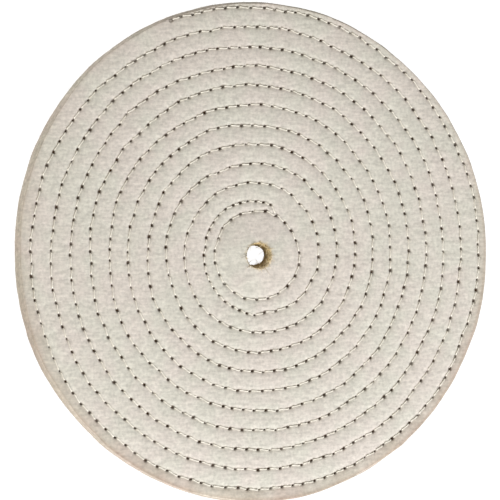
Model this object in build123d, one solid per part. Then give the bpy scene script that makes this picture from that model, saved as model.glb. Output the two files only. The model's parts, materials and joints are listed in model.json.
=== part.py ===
"""Spiral-sewn cloth polishing wheel, lying flat.

Forty round discs of cotton sheeting are stacked and lockstitched together.  The seam is a closed
circle round the spindle hole, then one long spiral that runs out to the rim.  Every row of stitches
draws the cloth down into a narrow valley, and the thread lies in it, just under the face.

Frame: the spindle hole's axis is Z and the middle of the stack is Z = 0.  The needle side faces +Z.
"""
import os
from math import acos, atan2, ceil, cos, degrees, hypot, radians, sin, sqrt

from build123d import *

# Cloth
wheel_d = 254.0            # every cloth disc
bore_d = 12.7              # hole for a half-inch spindle
ply_count = 40             # discs in the stack
ply_t = 0.27               # one thickness of sheeting
disc_centre = (0.06, 2.60)     # middle of the discs, measured from the hole: it is punched off centre

# Seam
thread_d = 0.75
leg_d = 0.50               # both threads pulled tight, where they go through the cloth
thread_recess = 0.05       # how far the thread lies under the face, and how far it presses into the cloth
stitch_length = 6.2
row_spacing = 9.95
valley_half_w = 1.8        # from the middle of a row to the flat cloth beside it
circle_r = 22.8            # closed row round the spindle hole
circle_centre = (-0.65, 0.31)
first_step = 4.0           # from the closed row out to where the spiral starts
start_deg = 75.0           # direction in which the spiral starts; it winds counterclockwise
lead_deg = 12.0            # how far back round the closed row the stitch that leads out to it begins
pole = (-0.71, 1.39)       # middle of the spiral
rim_margin = 1.5           # cloth left outside the last stitch

# Sizes worked out from the ones above
stack_t = ply_count * ply_t
thread_r = thread_d / 2
valley_depth = thread_d / (1 - (thread_r / valley_half_w) ** 2)     # the thread fits it up to the face
thread_z = stack_t / 2 - thread_recess - thread_r
leg_h = 2 * (thread_z - sqrt(thread_r ** 2 - (leg_d / 2) ** 2))     # just into the underside of each run
half_step = row_spacing / 2
out = (cos(radians(start_deg)), sin(radians(start_deg)))            # unit vector to the spiral's start
pole_shift = (pole[0] - circle_centre[0]) * out[0] + (pole[1] - circle_centre[1]) * out[1]
start_r = circle_r + first_step - pole_shift
start_point = (pole[0] + start_r * out[0], pole[1] + start_r * out[1])
# The spiral is half turns about two centres in turn, so each half turn is half a spacing wider
arc_centres = [(pole[0] - side * half_step / 2 * out[0], pole[1] - side * half_step / 2 * out[1])
               for side in (1, -1)]
first_arc_r = start_r + half_step / 2
inner_r = circle_r + first_step / 2                                 # cloth sewn by the closed row
profile_r = wheel_d / 2 + 2 * row_spacing                           # well past the rim, trimmed later


def point(centre, radius, deg, z=0.0):
    """Point at a distance and direction from a centre."""
    return (centre[0] + radius * cos(radians(deg)), centre[1] + radius * sin(radians(deg)), z)


def upright(centre):
    """Vertical axis through a centre."""
    return Axis((centre[0], centre[1], 0), (0, 0, 1))


def disc(centre, radius):
    """Upright cylinder that runs well past both faces."""
    return Pos(centre[0], centre[1], 0) * Cylinder(radius, 2 * stack_t)


def cloth_line(level, rows, reach):
    """Height of one layer boundary along a radius, flat with a V at each row of stitches.

    level runs from -1 at the bottom face to 1 at the top face.
    """
    flat = level * stack_t / 2
    low = level * (stack_t / 2 - valley_depth)
    line = [(0, flat)]
    for row in rows:
        line += [(row - valley_half_w, flat), (row, low), (row + valley_half_w, flat)]
    return line + [(reach, flat)]


def sweep_cloth(number, rows, reach, centre, from_deg, turn):
    """One ply's section between two layer boundaries, turned about an upright axis."""
    levels = [2 * number / ply_count - 1, 2 * (number + 1) / ply_count - 1]
    under = cloth_line(levels[0], rows, reach)
    over = cloth_line(levels[1], rows, reach)
    heading = (cos(radians(from_deg)), sin(radians(from_deg)), 0)
    plane = Plane(origin=(centre[0], centre[1], 0), x_dir=heading, z_dir=(heading[1], -heading[0], 0))
    outline = Polyline(*(under + over[::-1]), close=True)
    return revolve(plane * make_face(outline), upright(centre), turn)


def half_turn_rows(half):
    """Radii of the spiral's rows in one half of the wheel, about that half's own centre."""
    first = first_arc_r + half * half_step
    return [first + turn * row_spacing for turn in range(ceil((profile_r - first) / row_spacing) - 1)]


def make_ply(number):
    """One disc of cloth, drawn down along every row of stitches."""
    cloth = sweep_cloth(number, half_turn_rows(0), profile_r, arc_centres[0], start_deg, 180)
    cloth += sweep_cloth(number, half_turn_rows(1), profile_r, arc_centres[1], start_deg + 180, 180)
    cloth &= disc(disc_centre, wheel_d / 2)
    # The middle is sewn by the closed row, and the spiral's valley starts with a rounded end
    cloth -= disc(circle_centre, inner_r)
    cloth += sweep_cloth(number, [circle_r], inner_r, circle_centre, 0, 360)
    block = Plane(origin=(*start_point, 0), x_dir=(*out, 0), z_dir=(out[1], -out[0], 0))
    slab = block * make_face(Polyline((0, -stack_t), (valley_half_w, -stack_t), (valley_half_w, stack_t),
                                      (0, stack_t), close=True))
    cloth -= revolve(slab, upright(start_point), -180)
    cloth += sweep_cloth_end(number, block)
    return cloth - disc((0, 0), bore_d / 2)


def sweep_cloth_end(number, plane):
    """Rounded end of the spiral's valley, on the side away from the spiral."""
    levels = [2 * number / ply_count - 1, 2 * (number + 1) / ply_count - 1]
    low = [(0, level * (stack_t / 2 - valley_depth)) for level in levels]
    flat = [(valley_half_w, level * stack_t / 2) for level in levels]
    outline = Polyline(low[0], flat[0], flat[1], low[1], close=True)
    return revolve(plane * make_face(outline), upright(start_point), -180)


def rim_crossing(centre, radius, from_deg):
    """Direction in which an arc, going round from from_deg, first reaches the edge margin, or None."""
    limit = wheel_d / 2 - rim_margin
    shift = (centre[0] - disc_centre[0], centre[1] - disc_centre[1])
    away = hypot(*shift)
    ratio = (limit ** 2 - radius ** 2 - away ** 2) / (2 * radius * away)
    if abs(ratio) > 1:
        return None
    crossing = degrees(atan2(shift[1], shift[0]) - acos(ratio))
    return from_deg + (crossing - from_deg) % 360


def seam_arcs():
    """Centre, radius and two end directions of the closed row and of each half turn of the spiral."""
    arcs = [(circle_centre, circle_r, start_deg - 180, start_deg + 180)]
    half = 0
    while True:
        centre, radius = arc_centres[half % 2], first_arc_r + half * half_step
        begin = start_deg + 180 * half
        crossing = rim_crossing(centre, radius, begin)
        if crossing is not None and crossing < begin + 180:
            return arcs + [(centre, radius, begin, crossing)]
        arcs.append((centre, radius, begin, begin + 180))
        half += 1


def make_thread(side):
    """One thread's run along a face, from the closed row out to the rim."""
    height = side * thread_z
    runs = []
    for centre, radius, begin, end in seam_arcs():
        heading = radians(begin)
        section = Plane(origin=point(centre, radius, begin, height), z_dir=(-sin(heading), cos(heading), 0))
        runs.append(revolve(section * Circle(thread_r), upright(centre), end - begin))
    # One tight stitch leads from the closed row out to the spiral
    lead = Edge.make_line(point(circle_centre, circle_r, start_deg - lead_deg, height), (*start_point, height))
    runs.append(sweep(Plane(origin=lead @ 0, z_dir=lead % 0) * Circle(leg_d / 2), lead))
    return runs[0].fuse(*runs[1:])


def make_legs():
    """Both threads' legs at every stitch: a pin through the cloth, from the one run to the other."""
    legs = []
    for centre, radius, begin, end in seam_arcs():
        stitches = max(1, round(radians(end - begin) * radius / stitch_length))
        for stitch in range(stitches):
            place = point(centre, radius, begin + (end - begin) * (stitch + 0.5) / stitches)
            legs.append(Pos(*place) * Cylinder(leg_d / 2, leg_h))
    return Compound(children=legs)


os.makedirs("parts", exist_ok=True)
for number in range(ply_count // 2, ply_count):
    ply = make_ply(number)
    export_step(ply, f"parts/ply_{number + 1:02d}.step")
    export_step(ply.mirror(Plane.XY), f"parts/ply_{ply_count - number:02d}.step")
export_step(make_thread(1), "parts/needle_thread.step")
export_step(make_thread(-1), "parts/bobbin_thread.step")
export_step(make_legs(), "parts/stitch_legs.step")
seam_length = sum(radians(end - begin) * radius for _, radius, begin, end in seam_arcs())
print(f"seam {seam_length:.0f} mm, about {seam_length / stitch_length:.0f} stitches,"
      f" valley {valley_depth:.2f} deep, spiral from {start_r:.2f}")
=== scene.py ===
"""Spiral-sewn cloth polishing wheel: forty discs of cotton sheeting, sewn in a closed row and a spiral.

The wheel is made here in the order in which it is put together: the seam is marked out, the discs are cut
and stacked, the two threads are sewn through them, and the cut edges fray.  Lengths are in millimetres until
a mesh is made, and the mesh itself is in metres.
"""
import json
from math import cos, pi, radians, sin

import bpy
import numpy as np
from mathutils import Matrix, Vector, kdtree, noise
from mathutils.geometry import delaunay_2d_cdt

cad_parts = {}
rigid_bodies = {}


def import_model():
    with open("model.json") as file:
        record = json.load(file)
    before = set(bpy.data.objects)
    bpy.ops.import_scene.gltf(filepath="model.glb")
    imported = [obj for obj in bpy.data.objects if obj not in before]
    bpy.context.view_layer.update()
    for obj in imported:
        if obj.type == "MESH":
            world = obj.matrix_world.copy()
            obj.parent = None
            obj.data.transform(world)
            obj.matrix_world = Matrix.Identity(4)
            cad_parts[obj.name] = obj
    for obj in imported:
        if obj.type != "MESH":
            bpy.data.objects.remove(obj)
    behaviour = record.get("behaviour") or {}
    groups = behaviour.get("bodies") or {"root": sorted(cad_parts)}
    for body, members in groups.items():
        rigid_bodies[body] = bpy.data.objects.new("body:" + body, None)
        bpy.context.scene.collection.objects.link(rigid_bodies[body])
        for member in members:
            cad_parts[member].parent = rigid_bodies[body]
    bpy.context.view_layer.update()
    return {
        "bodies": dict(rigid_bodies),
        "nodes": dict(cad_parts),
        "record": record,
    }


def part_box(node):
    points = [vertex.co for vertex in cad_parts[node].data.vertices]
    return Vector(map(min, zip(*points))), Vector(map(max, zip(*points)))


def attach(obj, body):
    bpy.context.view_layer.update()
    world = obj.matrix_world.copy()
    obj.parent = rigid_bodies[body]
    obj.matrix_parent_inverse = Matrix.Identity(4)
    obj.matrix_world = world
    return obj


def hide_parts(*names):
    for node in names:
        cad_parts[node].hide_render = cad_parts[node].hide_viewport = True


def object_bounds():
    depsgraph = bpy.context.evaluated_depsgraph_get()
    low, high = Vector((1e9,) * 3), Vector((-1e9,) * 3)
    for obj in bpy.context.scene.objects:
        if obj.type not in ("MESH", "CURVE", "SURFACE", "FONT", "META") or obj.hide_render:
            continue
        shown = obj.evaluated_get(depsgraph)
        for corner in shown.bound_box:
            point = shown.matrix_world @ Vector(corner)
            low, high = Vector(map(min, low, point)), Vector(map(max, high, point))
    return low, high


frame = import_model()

# ---- The seam --------------------------------------------------------------------------------------------
# The line that the needle follows: one closed row of lockstitch round the spindle hole, then a spiral that
# winds out counterclockwise to the edge of the cloth.  The work is turned under the needle by hand, so the
# rows wander a little and no two stitches are quite the same length.
wheel = list(frame["bodies"])[0]
spindle_hole = next(mount for mount in frame["record"]["mounts"] if mount["name"] == "spindle_hole")
hole_r = spindle_hole["dims"]["r_mm"]
disc_low, disc_high = (np.array(corner) * 1000 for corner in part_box("ply_40"))
disc_middle = (disc_low + disc_high)[:2] / 2
disc_r = (disc_high - disc_low)[0] / 2
face = disc_high[2]
ply_count = sum(name.startswith("ply_") for name in frame["nodes"])

closed_row_r = 22.8
closed_row_middle = np.array((-0.65, 0.31))
spiral_middle = np.array((-0.71, 1.39))
spiral_start_r = 25.77
spiral_start = radians(75)
closing_gap = radians(12)
row_spacing = 9.95
most_turns = 12
closed_row_step, spiral_step = 0.01, 0.003          # radians between the points of the marked line
end_margin = 1.5
stitch_length = 6.2
stitch_spread = 0.50
stitch_limits = (4.8, 7.5)
crowded_stitches = 22
crowded_share = 0.72                                # a crowded stitch's length, of what it would be
row_wander = 0.95
wander_length = 38
needle_wander = 0.24
puncture_r = 0.82
puncture_spread = 0.18
puncture_limits = (0.45, 1.20)
skew, skew_spread = 0.35, 0.5
hole_shade_beta = (1.8, 0.8)                               # beta distribution of each needle hole's painted shade: most holes get much, a few little
look_ahead = 0.5

chance = np.random.default_rng(11)


def around(angles):
    """Unit vectors in these directions."""
    return np.column_stack((np.cos(angles), np.sin(angles)))


def marked_line():
    """The line of the seam as it is marked out: the closed row, and then the spiral out to the edge."""
    turn = np.arange(spiral_start - closing_gap, spiral_start - closing_gap + 2 * pi, closed_row_step)
    closed_row = closed_row_middle + closed_row_r * around(turn)
    turn = np.arange(spiral_start, spiral_start + most_turns * 2 * pi, spiral_step)
    radius = spiral_start_r + row_spacing * (turn - spiral_start) / (2 * pi)
    spiral = spiral_middle + radius[:, None] * around(turn)
    on_cloth = np.linalg.norm(spiral - disc_middle, axis=1) < disc_r - end_margin
    return np.vstack((closed_row, spiral[:np.argmin(on_cloth)]))


def pierce(line):
    """Where the needle goes through: a hole at each stitch's length along the line."""
    steps = np.linalg.norm(np.diff(line, axis=0), axis=1)
    travel = np.concatenate(([0], np.cumsum(steps)))
    more_than_enough = int(travel[-1] / stitch_length * 1.2)
    lengths = chance.normal(stitch_length, stitch_spread, more_than_enough).clip(*stitch_limits)
    # the first stitches of the spiral are crowded
    first = int(2 * pi * closed_row_r / stitch_length) + 1
    lengths[first:first + crowded_stitches] *= crowded_share
    stops = np.cumsum(lengths)
    stops = np.concatenate(([0], stops[stops < travel[-1]]))
    at = np.column_stack([np.interp(stops, travel, line[:, axis]) for axis in (0, 1)])
    ahead = stops + look_ahead
    heading = np.column_stack([np.interp(ahead, travel, line[:, axis]) for axis in (0, 1)]) - at
    heading[-1] = heading[-2]
    heading /= np.linalg.norm(heading, axis=1)[:, None]
    drift = np.array([noise.noise(Vector((stop / wander_length, 0, 3))) for stop in stops])
    drift = row_wander * drift + chance.normal(0, needle_wander, len(stops))
    return at + drift[:, None] * np.column_stack((-heading[:, 1], heading[:, 0]))


holes = pierce(marked_line())
runs = np.diff(holes, axis=0)
run_length = np.linalg.norm(runs, axis=1)
run_dir = runs / run_length[:, None]
run_side = np.column_stack((-run_dir[:, 1], run_dir[:, 0]))
hole_dir = np.vstack((run_dir[:1], run_dir[1:] + run_dir[:-1], run_dir[-1:]))
hole_dir /= np.linalg.norm(hole_dir, axis=1)[:, None]
hole_side = np.column_stack((-hole_dir[:, 1], hole_dir[:, 0]))
# each needle hole's radius, how much painted shade it gets from 0 to 1, and how far its stitch pulls it
# askew
hole_size = chance.normal(puncture_r, puncture_spread, len(holes)).clip(*puncture_limits)
hole_shade = chance.beta(*hole_shade_beta, len(holes))
hole_skew = chance.normal(skew, skew_spread, len(holes))


def map_of(points):
    """Search tree of these points."""
    tree = kdtree.KDTree(len(points))
    for number, (x, y) in enumerate(points):
        tree.insert((x, y, 0), number)
    tree.balance()
    return tree


marks_per_run = 12
run_marks = holes[:-1, None] + runs[:, None] * ((np.arange(marks_per_run) + 0.5) / marks_per_run)[:, None]
seam_map = map_of(run_marks.reshape(-1, 2))
hole_map = map_of(holes)


def off_seam(points):
    """Distance of each point from the seam, and how far along its stitch it is, from 0 to 1."""
    run = np.array([seam_map.find((x, y, 0))[1] for x, y in points]) // marks_per_run
    gap = points - holes[run]
    along = (gap * run_dir[run]).sum(1) / run_length[run]
    nearest = holes[run] + runs[run] * along.clip(0, 1)[:, None]
    return np.linalg.norm(points - nearest, axis=1), along.clip(0, 1)


# ---- The inner discs -------------------------------------------------------------------------------------
# Thirty-eight round discs of unbleached cotton sheeting, cut together and stacked.  The seam draws all of
# them down along its rows, so they swell a little between the rows and fan out at the cut edge.
row_depth = 1.55
crease = 1.25
pillow_w = 1.8
layer_gap = 0.0035                                  # share of half the stack, left between two discs
rim_points, hole_points = 480, 64
inner_ring, hole_ring = 2.2, 1.3
inner_apart = 0.9                                   # least distance between two corners of an inner disc
margin_w = 5.0                                      # cloth that is drawn in or out to the trimmed rim
rim_spare = 0.10
rim_shift = (0.35, -0.34)
rim_oval = 0.75                                     # wider by this much along Y, narrower along X
trim_wander, trim_ripple = 0.28, 0.10               # of the whole stack's rim
disc_wander, disc_ripple = 0.24, 0.13               # of each disc's own rim
face_rounding, side_rounding = 0.45, 0.6            # all round, and more of it towards -X
face_overhang = 0.5
overhang_way = radians(-55)
stack_droop, stack_droop_wave = 0.75, 0.35
droop_reach = 2.2
flutter, flutter_speed = 0.5, 9
tears = ((1.65, radians(-80)), (1.0, radians(85)))  # how far the cloth is torn inward, and in which way
torn_at_back, torn_fade = 1.25, 1.6
punch_lean, punch_slant = 0.5, 1.4
punch_wander, punch_ripple = 0.10, 0.09


def wave(angles, speed, seed):
    """Smooth random wave round a circle, from about -1 to 1: speed makes it shorter, seed picks another."""
    return np.array([2 * noise.noise(Vector((speed * cos(a), speed * sin(a), seed))) for a in angles])


def trimmed_r(angles):
    """Radius to which the whole stack is trimmed: a slight oval, with the shears' own wander."""
    oval = rim_shift[0] * np.cos(angles) + rim_shift[1] * np.sin(angles) - rim_oval * np.cos(2 * angles)
    wandered = disc_r + rim_spare + oval + trim_wander * wave(angles, 3.1, 1.5)
    return wandered + trim_ripple * wave(angles, 11, 2.5)


def cut_edge(angles, number):
    """Radius of one disc's rim: the stack's, rounded off towards the faces, with a wander of its own."""
    own = disc_wander * wave(angles, 4.3, 10.37 + number) + disc_ripple * wave(angles, 17, 70.41 + number)
    near_face = abs(2 * (number - 0.5) / ply_count - 1) ** 3
    rounding = (face_rounding + side_rounding * np.clip(-np.cos(angles), 0, 1)) * near_face
    overhang = face_overhang * np.cos(angles - overhang_way).clip(0) if number in (1, ply_count) else 0
    return trimmed_r(angles) - rounding + overhang + own


def from_rim(points):
    """How far inside the trimmed rim each point is, and its direction from the middle."""
    offset = points - disc_middle
    bearing = np.arctan2(offset[:, 1], offset[:, 0])
    return (trimmed_r(bearing) - np.linalg.norm(offset, axis=1)).clip(0), bearing


def fit_to_rim(points, number):
    """Points of a plain round disc, with the margin drawn in or out so that the rim lies on the cut edge."""
    offset = points - disc_middle
    distance = np.linalg.norm(offset, axis=1)
    bearing = np.arctan2(offset[:, 1], offset[:, 0])
    share = ((distance - disc_r + margin_w) / margin_w).clip(0, 1)
    return disc_middle + offset * (1 + share * (cut_edge(bearing, number) - disc_r) / distance)[:, None]


def punched_edge(angles, number):
    """Radius of the spindle hole in one disc: the lower discs hang inward where the punch tore them."""
    depth = np.clip(torn_at_back - torn_fade * number / ply_count, 0, 1)
    torn = sum(size * np.clip(np.cos(angles - way), 0, 1) ** 2 for size, way in tears)
    lean = (punch_lean - punch_slant * number / ply_count) * np.cos(angles)
    wandered = hole_r + lean - depth * torn + punch_wander * wave(angles, 1.7, 130.3 + number)
    return wandered + punch_ripple * wave(angles, 5, 180.7 + number)


def circle_at(middle, radii, angles):
    """Points round a middle."""
    return middle + np.reshape(radii, (-1, 1)) * around(angles)


def half_height(points):
    """How high the stack's outermost inner layer stands above the middle of the stack."""
    from_seam, _ = off_seam(points)
    inside, bearing = from_rim(points)
    droop = (stack_droop + stack_droop_wave * wave(bearing, 3.7, 5.1)) * np.exp(-inside / droop_reach)
    return face - row_depth / (1 + (from_seam / crease) ** 2) - droop


def rim_flutter(points, level):
    """Small waves that lift and drop the loose cloth outside the last row."""
    inside, bearing = from_rim(points)
    seed = 1.4 * level + 8
    lift = np.array([noise.noise(Vector((flutter_speed * cos(a), flutter_speed * sin(a), seed)))
                     for a in bearing])
    return flutter * lift * np.exp(-inside / droop_reach)


def thin_out(points, apart):
    """These points without any that lies closer than this to an earlier one."""
    tree, kept = map_of(points), np.ones(len(points), bool)
    for number, (x, y) in enumerate(points):
        if kept[number]:
            for _, other, _ in tree.find_range((x, y, 0), apart):
                if other > number:
                    kept[other] = False
    return points[kept]


def web(rim, hole, others):
    """Corner points and triangles of a flat ring of cloth between a rim and a hole."""
    corners = np.vstack((rim, hole, others))
    edges = [(i, (i + 1) % len(rim)) for i in range(len(rim))]
    edges += [(len(rim) + i, len(rim) + (i + 1) % len(hole)) for i in range(len(hole))]
    made = delaunay_2d_cdt([Vector(corner) for corner in corners], edges, [], 0, 1e-7, False)
    places = np.array([tuple(place) for place in made[0]])
    faces = np.array([tuple(corner) for corner in made[2]])
    # keep only the triangles that lie between the hole and the rim
    middles = places[faces].mean(1)
    hole_limit = np.linalg.norm(hole, axis=1).mean() * 0.995
    rim_limit = np.linalg.norm(rim - disc_middle, axis=1).mean() * 1.0008
    real = np.linalg.norm(middles, axis=1) > hole_limit
    real &= np.linalg.norm(middles - disc_middle, axis=1) < rim_limit
    flat = np.cross(places[faces[:, 1]] - places[faces[:, 0]], places[faces[:, 2]] - places[faces[:, 0]])
    faces[flat < 0] = faces[flat < 0][:, ::-1]
    return places, faces[real & (np.abs(flat) > 1e-6)]


def strip(upper, lower, closed_the_other_way=False):
    """Triangles of a wall between two loops of corner numbers."""
    upper_next, lower_next = np.roll(upper, -1), np.roll(lower, -1)
    if closed_the_other_way:
        upper, upper_next, lower, lower_next = upper_next, upper, lower_next, lower
    return np.vstack((np.column_stack((upper, lower, lower_next)),
                      np.column_stack((upper, lower_next, upper_next))))


def sew_mesh(name, corners, faces, tint, material, uv=None):
    """A mesh object from corner points in millimetres, triangles or quads, and a colour at each corner."""
    mesh = bpy.data.meshes.new(name)
    sides = faces.shape[1]
    mesh.vertices.add(len(corners))
    mesh.vertices.foreach_set("co", (corners / 1000).astype(np.float32).ravel())
    mesh.loops.add(faces.size)
    mesh.loops.foreach_set("vertex_index", faces.astype(np.int32).ravel())
    mesh.polygons.add(len(faces))
    mesh.polygons.foreach_set("loop_start", np.arange(0, faces.size, sides, dtype=np.int32))
    mesh.polygons.foreach_set("use_smooth", np.ones(len(faces), bool))
    mesh.update(calc_edges=True)
    colours = mesh.color_attributes.new("tint", "FLOAT_COLOR", "POINT")
    colours.data.foreach_set("color", np.column_stack((tint, np.ones(len(tint)))).astype(np.float32).ravel())
    if uv is not None:
        layer = mesh.uv_layers.new(name="twist")
        layer.data.foreach_set("uv", uv.astype(np.float32).ravel())
    mesh.validate()
    piece = bpy.data.objects.new(name, mesh)
    bpy.context.scene.collection.objects.link(piece)
    mesh.materials.append(material)
    return piece


def new_material(name):
    """A material with its shader, and a function that adds a node to it."""
    material = bpy.data.materials.new(name)
    material.use_nodes = True
    tree = material.node_tree
    shader = tree.nodes["Principled BSDF"]

    def add(kind, settings=(), **inputs):
        made = tree.nodes.new("ShaderNode" + kind)
        for setting, value in dict(settings).items():
            setattr(made, setting, value)
        for socket, value in inputs.items():
            numbered = socket[0] == "i" and socket[1:].isdigit()
            target = made.inputs[int(socket[1:])] if numbered else made.inputs[socket]
            if isinstance(value, bpy.types.NodeSocket):
                tree.links.new(value, target)
            else:
                target.default_value = value
        return made

    return material, shader, add, tree.links.new


def make_sheeting():
    """Unbleached plain-weave cotton: fine yarns both ways, a soft nap, and faint uneven colour."""
    material, shader, add, link = new_material("cotton_sheeting")
    place = add("TexCoord").outputs["Object"]
    # faint patches, some warmer and some greener
    patches = add("TexNoise", Vector=place, Scale=62.0, Detail=2.0, Roughness=0.5)
    hue = add("ValToRGB", Fac=patches.outputs["Fac"])
    hue.color_ramp.elements[0].position, hue.color_ramp.elements[1].position = 0.38, 0.62
    hue.color_ramp.elements[0].color = (0.604, 0.583, 0.521, 1)
    hue.color_ramp.elements[1].color = (0.627, 0.576, 0.528, 1)
    # slubs and nap, drawn out along the yarns that run across the wheel
    stretched = add("Mapping", Vector=place, Scale=(210.0, 760.0, 600.0))
    nap = add("TexNoise", Vector=stretched.outputs[0], Scale=1.0, Detail=3.0, Roughness=0.6)
    upright = add("Mapping", Vector=place, Scale=(640.0, 520.0, 600.0))
    cross_nap = add("TexNoise", Vector=upright.outputs[0], Scale=1.0, Detail=2.0, Roughness=0.6)
    # the weave: warp and weft 0.42 mm apart
    yarns = [add("TexWave", dict(bands_direction=way), Vector=place, Scale=748.0, Distortion=1.2, Detail=1.0,
                 **{"Detail Scale": 0.4}) for way in ("X", "Y")]
    weave = add("Math", dict(operation="MULTIPLY"), i0=yarns[0].outputs["Fac"], i1=yarns[1].outputs["Fac"])
    # light and dark add up to a factor round 1
    both = add("Math", dict(operation="ADD"), i0=nap.outputs["Fac"], i1=cross_nap.outputs["Fac"])
    napped = add("MapRange", Value=both.outputs[0],
                 **{"From Min": 0.7, "From Max": 1.3, "To Min": 0.82, "To Max": 1.18})
    woven = add("MapRange", Value=weave.outputs[0], **{"To Min": 0.93, "To Max": 1.05})
    shade = add("Math", dict(operation="MULTIPLY"), i0=napped.outputs[0], i1=woven.outputs[0])
    # the tint attribute: oil in the spindle hole, and the painted shade and light of the needle holes,
    # crease and rims
    tint = add("VertexColor", dict(layer_name="tint")).outputs["Color"]
    tinted = add("VectorMath", dict(operation="MULTIPLY"), i0=hue.outputs["Color"], i1=tint)
    cloth = add("VectorMath", dict(operation="SCALE"), i0=tinted.outputs[0], Scale=shade.outputs[0])
    link(cloth.outputs[0], shader.inputs["Base Color"])
    height = add("Math", dict(operation="ADD"), i0=weave.outputs[0], i1=both.outputs[0])
    bump = add("Bump", Height=height.outputs[0], Strength=0.55, Distance=0.00022)
    link(bump.outputs["Normal"], shader.inputs["Normal"])
    shader.inputs["Roughness"].default_value = 0.93
    shader.inputs["Specular IOR Level"].default_value = 0.18
    shader.inputs["Sheen Weight"].default_value = 0.12
    shader.inputs["Sheen Roughness"].default_value = 0.5
    return material


sheeting = make_sheeting()
rim_angles = np.arange(rim_points) * 2 * pi / rim_points
hole_angles = np.arange(hole_points) * 2 * pi / hole_points
inner_loops = (circle_at(disc_middle, disc_r, rim_angles), circle_at((0, 0), hole_r, hole_angles))
inner_points = np.vstack((
    circle_at(disc_middle, disc_r - inner_ring, rim_angles[::2]),
    circle_at((0, 0), hole_r + hole_ring, hole_angles[::2]),
    holes, holes + pillow_w * hole_side, holes - pillow_w * hole_side,
    holes + row_spacing / 2 * hole_side,
    circle_at(closed_row_middle, closed_row_r * 0.6, rim_angles[::12])))
inner_points = inner_points[(np.linalg.norm(inner_points - disc_middle, axis=1) < disc_r - inner_ring + 0.01)
                            & (np.linalg.norm(inner_points, axis=1) > hole_r + hole_ring - 0.01)]
inner_places, inner_faces = web(*inner_loops, thin_out(inner_points, inner_apart))
inner_rim = np.arange(rim_points)
inner_hole = np.arange(rim_points, rim_points + hole_points)
inner_half = half_height(inner_places)
# oily ochre in the spindle hole, partly painted warm bounce light; the lower discs get oil and painted shade
# deep in the hole
hole_oil_and_bounce = np.array((1.15, 0.92, 0.50))
deep_oil_and_shade = np.array((0.62, 0.43, 0.16))
deep_oil_and_shade_share, deep_oil_and_shade_fade = 1.3, 1.9
hole_tint_w, hole_tint_fade = 0.1, 0.35
# painted light that brightens the inner discs' cut edges, and painted shade on the face discs' rims
rim_tint_w, rim_tint_fade = 1.0, 0.8
edge_painted_light = np.array((1.15, 1.13, 1.12))
face_edge_painted_shade = np.array((0.97, 0.94, 0.92))
# warm painted shade on the rim and the margin, strongest on the side towards -Y
rim_painted_shade = np.array((0.19, 0.25, 0.29))
side_shade, side_shade_swing = 0.55, 0.75


def shaded_side(bearing):
    """How much painted shade the rim gets in each direction: most on the side towards -Y."""
    return np.clip(side_shade - side_shade_swing * np.sin(bearing), 0, 1)


def edge_tint(places, number):
    """Colour of the cloth: oil and painted bounce light in the spindle hole, with oil and painted shade
    deeper down; painted light on the inner discs' rims, and painted shade on the face discs' rims and
    towards -Y.
    """
    tint = np.ones((len(places), 3))
    deep = np.clip(deep_oil_and_shade_share - deep_oil_and_shade_fade * number / ply_count, 0, 1)
    oil_and_shade = hole_oil_and_bounce + (deep_oil_and_shade - hole_oil_and_bounce) * deep
    from_hole = (np.linalg.norm(places, axis=1) - hole_r - hole_tint_w).clip(0)
    near_hole = np.exp(-(from_hole / hole_tint_fade))[:, None]
    inside, bearing = from_rim(places)
    near_rim = np.exp(-(inside - rim_tint_w).clip(0) / rim_tint_fade)[:, None]
    # painted light on the inner discs' rims, painted shade on the face discs' rims
    rim_light_and_shade = edge_painted_light if 1 < number < ply_count else face_edge_painted_shade
    rim_light_and_shade = rim_light_and_shade * (1 - shaded_side(bearing)[:, None] * rim_painted_shade)
    return tint * (1 - near_hole * (1 - oil_and_shade)) * (1 - near_rim * (1 - rim_light_and_shade))


def closed_ply(places, levels, number):
    """Corner points of an inner disc: its top side, then its under side."""
    places = fit_to_rim(places, number)
    places[inner_hole] = circle_at((0, 0), punched_edge(hole_angles, number), hole_angles)
    sides = [np.column_stack((places, level * inner_half + rim_flutter(places, level))) for level in levels]
    return np.vstack(sides)


for number in range(2, ply_count):
    levels = (2 * number / ply_count - 1 - layer_gap, 2 * (number - 1) / ply_count - 1 + layer_gap)
    corners = closed_ply(inner_places, levels, number)
    under = len(inner_places)
    faces = np.vstack((inner_faces, inner_faces[:, ::-1] + under,
                       strip(inner_rim, inner_rim + under), strip(inner_hole, inner_hole + under, True)))
    disc = sew_mesh(f"sheeting_{number:02d}", corners, faces, edge_tint(corners[:, :2], number), sheeting)
    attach(disc, wheel)
    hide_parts(f"ply_{number:02d}")

# ---- The two face discs ----------------------------------------------------------------------------------
# The discs that show are the same sheeting.  Each stitch pulls the cloth down into a crease, puckers it, and
# leaves a needle hole at both ends, and the loose margin outside the last row rounds over the edge.
face_row_depth = 0.66
face_rim_points, face_hole_points = 1000, 112
pit_rings = ((0.34, 6), (0.60, 8), (0.86, 9))       # radius and corners of the rings round a needle hole
ring_hole_r = 0.70                                  # needle hole that those radii fit
beside_hole = (-2.1, -1.35, 1.35, 2.1)
beside_run = (-2.1, -1.35, -0.8, -0.4, 0, 0.4, 0.8, 1.35, 2.1)
worked_w = 2.7                                      # further from the seam, the corners lie on a plain grid
grid_pitch, grid_shake = 1.42, 0.22
rim_rings, bore_rings = (0.55, 1.2, 2.0), (0.35, 0.8, 1.5)
face_apart = 0.2
pit_depth = 0.75
pit_floor, pit_wall = 0.62, 0.50                    # shares of the needle hole's radius
pit_slant, pit_narrowing = 0.25, 1.15
pucker, pucker_reach = 0.18, 1.9
middle_swell = 1.1
settled = 0.12
rolls = ((0.22, 14, 14, 0), (0.15, 5.5, 4.0, 7), (0.08, 2.3, 1.7, 19))     # height, x and y length, seed
margin_droop, margin_droop_wave, margin_droop_reach = 0.75, 0.4, 2.4
edge_droop, edge_droop_reach = 0.25, 1.1
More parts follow.
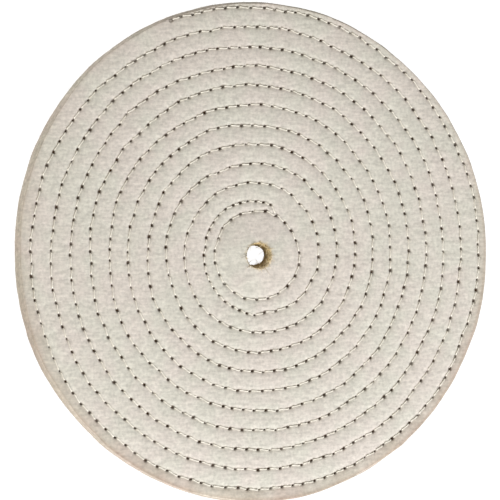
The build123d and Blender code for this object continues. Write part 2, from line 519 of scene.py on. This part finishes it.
droop_share, droop_swing = 0.75, (0.40, 0.35)
over_stack = 0.12
thinnest = 0.2
# painted shade in the needle holes: nearly black at the middle, fading out towards the pit's edge
pit_shade_colour = np.array((0.020, 0.010, 0.003))
pit_shade_hue = np.array((0.93, 0.975, 1.0))
pit_least_shade, pit_more_shade, pit_shade_edge = 0.60, 0.38, 0.6
# painted shade along the crease beside the thread, warmer than the cloth
crease_hue = np.array((0.9, 1.0, 1.25))
crease_dark, crease_dark_w = 0.05, 0.8
band_start, band_fade, band_edge = 0.2, 0.8, 0.6
band_least, band_wave = 0.75, 0.25


def face_points():
    """Where the face cloth needs corners: close together at the needle holes and in the crease, and
    further apart on the pillows between the rows."""
    found = [holes]
    for ring, (radius, count) in enumerate(pit_rings):
        for spoke in range(count):
            angle = 2 * pi * (spoke + ring / 3) / count
            reach = radius / ring_hole_r * hole_size[:, None]
            found.append(holes + reach * (cos(angle) * hole_dir + sin(angle) * hole_side))
    for side in beside_hole:
        found.append(holes + side * hole_side)
    for along in np.linspace(0.24, 0.76, 4):
        for side in beside_run:
            found.append(holes[:-1] + along * runs + side * run_side)
    found = np.vstack(found)
    # a triangular grid of corners, each shaken a little so that no pattern shows
    steps = int(disc_r / grid_pitch) + 2
    row_steps = int(steps * 1.16)
    grid = np.array([((i + 0.5 * (j % 2)) * grid_pitch, j * grid_pitch * 0.866) for i in range(-steps, steps)
                     for j in range(-row_steps, row_steps)]) + disc_middle
    grid += chance.uniform(-grid_shake, grid_shake, grid.shape)
    grid = grid[np.linalg.norm(grid - disc_middle, axis=1) < disc_r - rim_rings[-1]]
    grid = grid[off_seam(grid)[0] > worked_w]
    rims = [circle_at(disc_middle, disc_r - inside, face_rim_angles + inside) for inside in rim_rings]
    bores = [circle_at((0, 0), hole_r + outside, face_hole_angles[::2] + outside) for outside in bore_rings]
    found = np.vstack(rims + bores + [found, grid])
    found = found[(np.linalg.norm(found - disc_middle, axis=1) < disc_r - 0.5)
                  & (np.linalg.norm(found, axis=1) > hole_r + 0.3)]
    return thin_out(found, face_apart)


face_rim_angles = np.arange(face_rim_points) * 2 * pi / face_rim_points
face_hole_angles = np.arange(face_hole_points) * 2 * pi / face_hole_points
face_rim = np.arange(face_rim_points)
face_hole = np.arange(face_rim_points, face_rim_points + face_hole_points)
face_loops = (circle_at(disc_middle, disc_r, face_rim_angles), circle_at((0, 0), hole_r, face_hole_angles))
face_places, face_faces = web(*face_loops, face_points())
back_places, back_faces = web(*face_loops, thin_out(inner_points, inner_apart))


def pit(points):
    """How deep each point is in a needle hole, from 0 to 1, and which hole that is."""
    hole = np.array([hole_map.find((x, y, 0))[1] for x, y in points])
    gap = points - holes[hole]
    along = (gap * hole_dir[hole]).sum(1)
    across = (gap * hole_side[hole]).sum(1)
    slanted = along - pit_slant * hole_skew[hole] * across
    reach = np.hypot(slanted, across * pit_narrowing) / hole_size[hole]
    outward = np.clip((reach - pit_floor) / pit_wall, 0, 1)
    return 1 - outward ** 2 * (3 - 2 * outward), hole


def face_height(places, seed):
    """Height of the face cloth: creased and puckered by the seam, raised in the middle, low at the rim."""
    from_seam, along = off_seam(places)
    inside, bearing = from_rim(places)
    droop = margin_droop + margin_droop_wave * wave(bearing, 4.1, 5.1 + seed)
    droop *= np.exp(-inside / margin_droop_reach)
    droop += edge_droop * (1 + wave(bearing, 19, 9.3 + seed)) * np.exp(-inside / edge_droop_reach)
    droop *= droop_share - droop_swing[1] * np.sin(bearing) - droop_swing[0] * np.cos(bearing)
    depth, _ = pit(places)
    creased = face_row_depth / (1 + (from_seam / crease) ** 2)
    gathered = pucker * np.cos(2 * pi * along) * np.exp(-from_seam / pucker_reach)
    rolling = np.array([sum(size * noise.noise(Vector((x / x_length, y / y_length, seed + own)))
                            for size, x_length, y_length, own in rolls) for x, y in places])
    from_middle = np.linalg.norm(places - closed_row_middle, axis=1) / closed_row_r
    swell = middle_swell * (1 - from_middle.clip(0, 1) ** 2)
    return face - settled + rolling + swell - creased - gathered - pit_depth * depth - droop


def face_tint(places, seed):
    """Colour of the face cloth: painted shade in the needle holes and along the crease, and a warm painted
    shade on the margin.
    """
    tint = edge_tint(places, ply_count)
    from_seam, _ = off_seam(places)
    depth, hole = pit(places)
    # painted shade along the crease
    crease_shade = crease_dark * np.exp(-(from_seam / crease_dark_w) ** 2)
    tint *= 1 - crease_shade[:, None] * crease_hue
    # painted shade in the needle holes
    pit_shade = depth ** pit_shade_edge * (pit_least_shade + pit_more_shade * hole_shade[hole])
    pit_shade = pit_shade[:, None] * pit_shade_hue
    tint = tint * (1 - pit_shade) + pit_shade_colour * pit_shade
    # the band of warm painted shade starts where the cloth lies outside the seam's last turn
    inside, bearing = from_rim(places)
    run = np.array([seam_map.find((x, y, 0))[1] for x, y in places]) // marks_per_run
    beyond = -((places - holes[run]) * run_side[run]).sum(1)
    last_turn = run >= len(runs) - 2 * pi * (disc_r - row_spacing) / stitch_length
    band = shaded_side(bearing) * last_turn * ((beyond - band_start) / band_fade).clip(0, 1)
    band *= 1 - band_edge * np.exp(-inside / band_fade)
    band *= band_least + band_wave * wave(bearing, 13, 33 + seed)
    return tint * (1 - band[:, None] * rim_painted_shade)


def face_ply(name, node, side, seed):
    """A closed disc of sheeting whose outer side is fully worked and whose inner side lies on the stack."""
    number = ply_count if side > 0 else 1
    shapes = []
    for places in (face_places, back_places):
        places = fit_to_rim(places, number)
        places[face_hole] = circle_at((0, 0), punched_edge(face_hole_angles, number), face_hole_angles)
        shapes.append(places)
    outer, inner = shapes
    level = 1 - 2 / ply_count + layer_gap
    stack_top = level * half_height(outer) + rim_flutter(outer, 1.0)
    top = np.maximum(face_height(outer, seed), stack_top + over_stack)
    below = level * half_height(inner)
    loops = np.concatenate((face_rim, face_hole))
    below[loops] = np.minimum(below[loops], top[loops] - thinnest)
    corners = np.vstack((np.column_stack((outer, top)), np.column_stack((inner, below))))
    under = len(outer)
    faces = np.vstack((face_faces, back_faces[:, ::-1] + under,
                       strip(face_rim, face_rim + under), strip(face_hole, face_hole + under, True)))
    tint = np.vstack((face_tint(outer, seed), edge_tint(inner, number)))
    if side < 0:
        corners[:, 2] *= -1
        faces = faces[:, ::-1]
    piece = sew_mesh(name, corners, faces, tint, sheeting)
    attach(piece, wheel)
    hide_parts(node)
    return piece


bobbin_face = face_ply("sheeting_01", "ply_01", -1, 40.0)
needle_face = face_ply(f"sheeting_{ply_count:02d}", f"ply_{ply_count:02d}", 1, 0.0)

# ---- The two threads -------------------------------------------------------------------------------------
# Heavy three-ply cotton thread.  The needle thread lies on one face and the bobbin thread on the other; at
# every hole both dive into the cloth and catch each other halfway through, which is a lockstitch.
thread_r = 0.28
leg_r = 0.17
thread_sides = 6
twist_pitch = 2.4
thread_lift = 0.08                                  # of a run's middle line, over the crease
run_height = face - face_row_depth + thread_lift
thread_slant, slant_spread = 0.85, 0.3
thread_sway = 0.10
sunk_at = (0.5, 0.78, 1.16, 1.8, 2.6)               # distance from the hole, and the thread's painted shade there: dark where it dives in, a painted highlight just past that
sunk_shade_and_highlight = (0.02, 0.08, 1.15, 1.02, 0.90)
# painted shade at the thread's two ends, where they go into the cloth
tail_shade = 0.3


def thread_route(side):
    """The thread's path: for every stitch out of one hole, along the face and down into the next."""
    # distance from the nearer hole, height above the run, sideways slant, radius
    rise = ((0.26, -run_height + 0.1, 0.00, leg_r),
            (0.30, -2.3, 0.00, leg_r),
            (0.46, -1.30, 0.00, leg_r),
            (0.78, -0.62, 0.03, leg_r),
            (1.16, 0.14, 0.13, thread_r * 1.08),
            (1.80, 0.20, 0.20, thread_r * 1.05))
    path, radii, spots = [], [], []
    for number, (start, direction, across, length) in enumerate(zip(holes, run_dir, run_side, run_length)):
        slant = thread_slant + slant_spread * hole_skew[number]
        sway = thread_sway * hole_skew[number + 1]
        stops = [(along, lift, shift * slant, radius) for along, lift, shift, radius in rise]
        stops += [(length / 2, 0.02 - thread_sway * hole_skew[number], sway, thread_r * 0.92)]
        stops += [(length - along, lift, -shift * slant, radius)
                  for along, lift, shift, radius in rise[::-1]]
        for along, lift, shift, radius in stops:
            place = start + along * direction + side * shift * across
            path.append((*place, side * (run_height + lift)))
            radii.append(radius)
            spots.append(min(along, length - along))
    return np.array(path), np.array(radii), np.array(spots)


def tube_frames(path):
    """At each point of a path, two directions square to it and to each other, with no sudden turn."""
    ahead = np.gradient(path, axis=0)
    ahead /= np.linalg.norm(ahead, axis=1)[:, None]
    first = np.empty_like(ahead)
    any_other_way = (0.3, 0.5, 0.8)
    held = np.cross(ahead[0], any_other_way)
    for number, direction in enumerate(ahead):
        held = held - direction * held.dot(direction)
        held /= np.linalg.norm(held)
        first[number] = held
    return first, np.cross(ahead, first)


def tube(path, radii, sides):
    """Corner points and quads of a closed tube along a path, and each quad's place along it and round it."""
    first, second = tube_frames(path)
    spin = np.arange(sides) * 2 * pi / sides
    ring = first[:, None] * np.cos(spin)[:, None] + second[:, None] * np.sin(spin)[:, None]
    corners = (path[:, None] + ring * radii[:, None, None]).reshape(-1, 3)
    rings, spots = np.meshgrid(np.arange(len(path) - 1), np.arange(sides), indexing="ij")
    here, beside = rings * sides + spots, rings * sides + (spots + 1) % sides
    quads = np.stack((here, beside, beside + sides, here + sides), axis=-1).reshape(-1, 4)
    travel = np.concatenate(([0], np.cumsum(np.linalg.norm(np.diff(path, axis=0), axis=1))))
    along = np.stack((travel[rings], travel[rings], travel[rings + 1], travel[rings + 1]), axis=-1)
    round_it = np.stack((spots, spots + 1, spots + 1, spots), axis=-1) / sides
    return corners, quads, along.reshape(-1, 4), round_it.reshape(-1, 4)


def make_thread_material():
    """Three cotton strands twisted together, cream, with a little loose lint."""
    material, shader, add, link = new_material("cotton_thread")
    twist = add("UVMap", dict(uv_map="twist")).outputs["UV"]
    strands = add("TexWave", dict(bands_direction="X"), Vector=twist, Scale=3 * 2 * pi / 20)
    place = add("TexCoord").outputs["Object"]
    lint = add("TexNoise", Vector=place, Scale=1500.0, Detail=2.0)
    patches = add("TexNoise", Vector=place, Scale=90.0, Detail=2.0)
    hue = add("ValToRGB", Fac=patches.outputs["Fac"])
    hue.color_ramp.elements[0].position, hue.color_ramp.elements[1].position = 0.35, 0.65
    hue.color_ramp.elements[0].color = (0.75, 0.71, 0.62, 1)
    hue.color_ramp.elements[1].color = (0.86, 0.82, 0.74, 1)
    both = add("Math", dict(operation="MULTIPLY"), i0=strands.outputs["Fac"], i1=lint.outputs["Fac"])
    shade = add("MapRange", Value=both.outputs[0], **{"From Max": 0.6, "To Min": 0.86, "To Max": 1.06})
    # the tint attribute: painted shade and highlight on the threads; on the frayed ends, their own colours
    tint = add("VertexColor", dict(layer_name="tint")).outputs["Color"]
    tinted = add("VectorMath", dict(operation="MULTIPLY"), i0=hue.outputs["Color"], i1=tint)
    cotton = add("VectorMath", dict(operation="SCALE"), i0=tinted.outputs[0], Scale=shade.outputs[0])
    link(cotton.outputs[0], shader.inputs["Base Color"])
    bump = add("Bump", Height=both.outputs[0], Strength=0.6, Distance=0.00012)
    link(bump.outputs["Normal"], shader.inputs["Normal"])
    shader.inputs["Roughness"].default_value = 0.8
    shader.inputs["Specular IOR Level"].default_value = 0.25
    shader.inputs["Sheen Weight"].default_value = 0.2
    return material


thread_cotton = make_thread_material()


def sew_thread(name, side, *nodes):
    """One whole thread, from its tail at the closed row to its tail at the rim."""
    path, radii, from_hole = thread_route(side)
    corners, quads, along, round_it = tube(path, radii, thread_sides)
    first_end, last_end = len(corners), len(corners) + 1
    corners = np.vstack((corners, path[0], path[-1]))
    uv = np.stack((along / twist_pitch + round_it, round_it), axis=-1).reshape(-1, 2)
    # painted shade where the thread dives into each hole, and a painted highlight just past it
    shade = np.interp(from_hole, sunk_at, sunk_shade_and_highlight)
    tint = np.repeat(shade, thread_sides)[:, None] * np.ones(3)
    tint = np.vstack((tint, np.full((2, 3), tail_shade)))
    last_ring = (len(path) - 1) * thread_sides
    around_end = np.arange(thread_sides)
    next_round = np.roll(around_end, -1)
    caps = np.vstack((np.column_stack((np.full(thread_sides, first_end), next_round, around_end)),
                      np.column_stack((np.full(thread_sides, last_end), last_ring + around_end,
                                       last_ring + next_round))))
    triangles = np.vstack((quads[:, [0, 1, 2]], quads[:, [0, 2, 3]], caps))
    corner_uv = uv.reshape(-1, 4, 2)
    uv = np.vstack((corner_uv[:, [0, 1, 2]].reshape(-1, 2), corner_uv[:, [0, 2, 3]].reshape(-1, 2),
                    np.zeros((caps.size, 2))))
    piece = sew_mesh(name, corners, triangles, tint, thread_cotton, uv)
    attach(piece, wheel)
    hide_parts(*nodes)
    return piece


sew_thread("needle_thread_sewn", 1, "needle_thread", "stitch_legs")
sew_thread("bobbin_thread_sewn", -1, "bobbin_thread")

# ---- Frayed yarn -----------------------------------------------------------------------------------------
# Sheeting that is cut and left raw sheds its yarns: short fuzzy ends stand out all round the rim, and longer
# ones, soiled by oil and metal, hang in the spindle hole.
fray_joints, fray_sides = 5, 3
fray_taper = 0.75
fray_spread = 0.55
rim_fray_count = 2600
rim_fray_level = 0.97                               # share of the stack's height that it covers
rim_fray_root = 0.25
rim_fray_lengths = (0.2, 1.9)
hole_fray_all_round = 180
hole_fray_bunches = ((radians(-60), 260), (radians(30), 180))       # direction and number of ends
bunch_w = 0.55
hole_fray_root = 0.15
hole_fray_lengths = (0.4, 2.8)
at_face_share, face_level = 0.5, 0.98
rim_fray_r, hole_fray_r, hair_r = 0.055, 0.15, 0.18
rim_fray_curl, hole_fray_curl, hair_curl = 0.45, 0.5, 0.12
clean_yarn = np.array((0.80, 0.78, 0.76))
light_oil, dark_oil = np.array((1.25, 1.12, 0.80)), np.array((0.30, 0.20, 0.08))
hair_colour = np.array([(0.13, 0.08, 0.04)])
hair_way, hair_length = np.array([(-0.90, -0.42, 0.03)]), np.array([4.0])


def fray(name, roots, outward, lengths, radius, tint, curl, seed):
    """Many loose yarn ends as thin curved tubes, tapered to a point."""
    draw = np.random.default_rng(seed)
    joints, sides, count = fray_joints, fray_sides, len(roots)
    bend = draw.normal(0, curl, (count, 3))
    step = np.linspace(0, 1, joints)
    away = outward[:, None] * step[:, None] + bend[:, None] * (step ** 2)[:, None]
    path = roots[:, None] + away * lengths[:, None, None]
    ahead = np.gradient(path, axis=1)
    ahead /= np.linalg.norm(ahead, axis=2)[..., None]
    first = np.cross(ahead, draw.normal(size=(count, 1, 3)))
    first /= np.linalg.norm(first, axis=2)[..., None]
    second = np.cross(ahead, first)
    spin = np.arange(sides) * 2 * pi / sides
    ring = first[:, :, None] * np.cos(spin)[:, None] + second[:, :, None] * np.sin(spin)[:, None]
    taper = radius * (1 - fray_taper * step)
    corners = (path[:, :, None] + ring * taper[None, :, None, None]).reshape(-1, 3)
    base = (np.arange(count) * joints * sides)[:, None, None]
    rings, spots = np.meshgrid(np.arange(joints - 1), np.arange(sides), indexing="ij")
    here, beside = base + rings * sides + spots, base + rings * sides + (spots + 1) % sides
    quads = np.stack((here, beside, beside + sides, here + sides), axis=-1).reshape(-1, 4)
    end = base[:, 0] + (joints - 1) * sides
    caps = np.vstack((np.column_stack((base[:, 0] + 2, base[:, 0] + 1, base[:, 0])),
                      np.column_stack((end, end + 1, end + 2))))
    triangles = np.vstack((quads[:, [0, 1, 2]], quads[:, [0, 2, 3]], caps))
    piece = sew_mesh(name, corners, triangles, np.repeat(tint, joints * sides, axis=0), thread_cotton,
                     np.zeros((triangles.size, 2)))
    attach(piece, wheel)
    return piece


# all round the rim and at all heights, rooted just inside the edge of the middle disc
angles = chance.uniform(0, 2 * pi, rim_fray_count)
levels = chance.uniform(-rim_fray_level, rim_fray_level, rim_fray_count)
edge = circle_at(disc_middle, cut_edge(angles, ply_count // 2) - rim_fray_root, angles)
heights = levels * half_height(edge)
outward = np.column_stack((around(angles), np.zeros(rim_fray_count)))
outward += chance.normal(0, fray_spread, outward.shape)
fray("rim_fray", np.column_stack((edge, heights)), outward,
     chance.gamma(2.2, 0.24, rim_fray_count).clip(*rim_fray_lengths), rim_fray_r,
     clean_yarn * chance.uniform(0.8, 1.0, (rim_fray_count, 1)), rim_fray_curl, 5)

# in the spindle hole, thickest where the punch tore the cloth, and half of them at the face
angles = np.concatenate([chance.uniform(0, 2 * pi, hole_fray_all_round)]
                        + [chance.normal(way, bunch_w, count) for way, count in hole_fray_bunches])
hole_fray_count = len(angles)
at_face = chance.uniform(0, 1, hole_fray_count) < at_face_share
levels = np.where(at_face, face_level, chance.uniform(-0.9, face_level, hole_fray_count))
numbers = (levels + 1) / 2 * ply_count
edge_r = [punched_edge(np.array([angle]), number)[0] + hole_fray_root
          for angle, number in zip(angles, numbers)]
edge = circle_at((0, 0), edge_r, angles)
heights = levels * (face + 0.9 * middle_swell)
away = np.where(levels > 0.97, chance.uniform(-0.6, 0.9, hole_fray_count), -0.3)
outward = np.column_stack((around(angles) * away[:, None], chance.normal(0.15, 0.35, hole_fray_count)))
outward[:, :2] += chance.normal(0, fray_spread, (hole_fray_count, 2))
oiled = chance.uniform(0, 1, (hole_fray_count, 1))
fray("hole_fray", np.column_stack((edge, heights)), outward,
     chance.gamma(2.4, 0.45, hole_fray_count).clip(*hole_fray_lengths), hole_fray_r,
     oiled * dark_oil + (1 - oiled) * light_oil, hole_fray_curl, 6)

# one stray hair beside the hole
hair_root = (-hole_r - 0.4, 0.2, face + middle_swell + 0.2)
fray("stray_hair", np.array([hair_root]), hair_way, hair_length, hair_r, hair_colour, hair_curl, 7)

# ---- Floor, lights and camera ----------------------------------------------------------------------------
# A plain white table under the wheel, a soft main light from the -Y side, a weaker one from the -X side,
# and a camera that looks down on the wheel, a little from the -X side.
table_reach = 6.0
table_grey = (0.15, 0.15, 0.15, 1)
room_light, room_strength = (1.0, 0.96, 0.88), 0.485
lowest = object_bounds()[0].z
floor_mesh = bpy.data.meshes.new("floor")
floor_mesh.from_pydata([(-table_reach, -table_reach, lowest), (table_reach, -table_reach, lowest),
                        (table_reach, table_reach, lowest), (-table_reach, table_reach, lowest)],
                       [], [(0, 1, 2, 3)])
floor = bpy.data.objects.new("floor", floor_mesh)
bpy.context.scene.collection.objects.link(floor)
floor_paint, floor_shader, _, _ = new_material("white_table")
floor_shader.inputs["Base Color"].default_value = table_grey
floor_shader.inputs["Roughness"].default_value = 0.9
floor_shader.inputs["Emission Color"].default_value = (1, 1, 1, 1)
floor_shader.inputs["Emission Strength"].default_value = 1.0
floor_mesh.materials.append(floor_paint)


def soft_light(name, place, width, power, colour):
    """A square soft box that faces the wheel."""
    lamp = bpy.data.lights.new(name, "AREA")
    lamp.size, lamp.energy, lamp.color = width, power, colour
    box = bpy.data.objects.new(name, lamp)
    box.location = place
    box.rotation_euler = (-Vector(place)).to_track_quat("-Z", "Y").to_euler()
    bpy.context.scene.collection.objects.link(box)


soft_light("key", place=(0.40, -1.0, 0.75), width=0.45, power=21.1, colour=(0.965, 0.98, 1.0))
soft_light("fill", place=(-1.4, -0.15, 0.45), width=0.9, power=9.0, colour=room_light)
world = bpy.data.worlds.new("studio")
world.use_nodes = True
world.node_tree.nodes["Background"].inputs["Color"].default_value = (*room_light, 1)
world.node_tree.nodes["Background"].inputs["Strength"].default_value = room_strength
bpy.context.scene.world = world
bpy.context.scene.view_settings.view_transform = "Standard"

camera_data = bpy.data.cameras.new("camera")
camera_data.lens, camera_data.sensor_width = 174.2, 36
camera_data.clip_start, camera_data.clip_end = 0.05, 20
camera = bpy.data.objects.new("camera", camera_data)
right = Vector((0.9493, -0.0047, 0.3143))
up = Vector((0, 0.9999, 0.0150))
back = Vector((-0.3143, -0.0143, 0.9492))
camera.matrix_world = Matrix((right, up, back)).transposed().to_4x4()
camera.location = (-0.3931, -0.0148, 1.1782)
bpy.context.scene.collection.objects.link(camera)
bpy.context.scene.camera = camera
